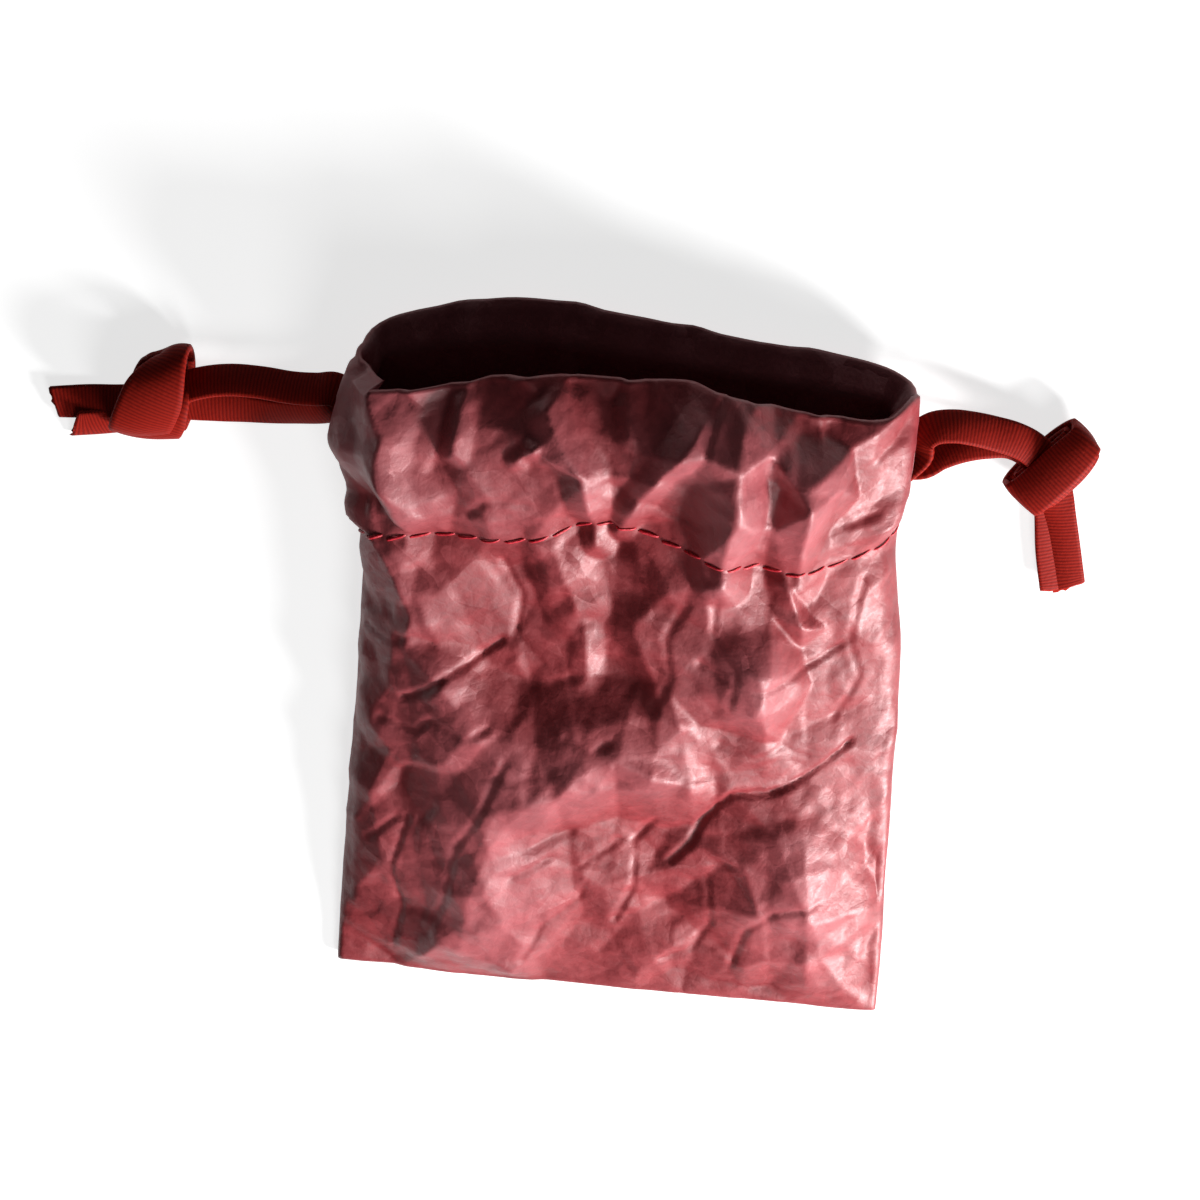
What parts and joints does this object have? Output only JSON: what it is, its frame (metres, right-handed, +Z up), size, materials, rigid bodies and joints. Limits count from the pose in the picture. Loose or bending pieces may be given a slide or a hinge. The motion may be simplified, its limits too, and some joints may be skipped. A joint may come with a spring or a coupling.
{
  "type": "drawstring pouch",
  "caption": "Small flat drawstring pouch of crumpled red washed paper, mouth open, with two flat laces knotted at its sides.",
  "frame": {"origin": "on the flat underside of the back panel, on the pouch's middle line, halfway up from the bottom fold to the rim", "axes": "+X towards the side that is on the right in the front view, +Y from the bottom fold to the mouth, +Z up from the back panel to the front panel"},
  "size_m": [0.1584, 0.1216, 0.0236],
  "materials": {
    "washed_paper": "crumpled, softly shiny",
    "red_lace": "matt ribbed",
    "dark_red_thread": "satin"
  },
  "bodies": {
    "root": {"pouch_body": "washed_paper", "hem_stitching": "dark_red_thread", "side_seam_thread_left": "dark_red_thread", "side_seam_thread_right": "dark_red_thread", "drawstring_left": "red_lace", "drawstring_right": "red_lace"}
  },
  "joints": []
}
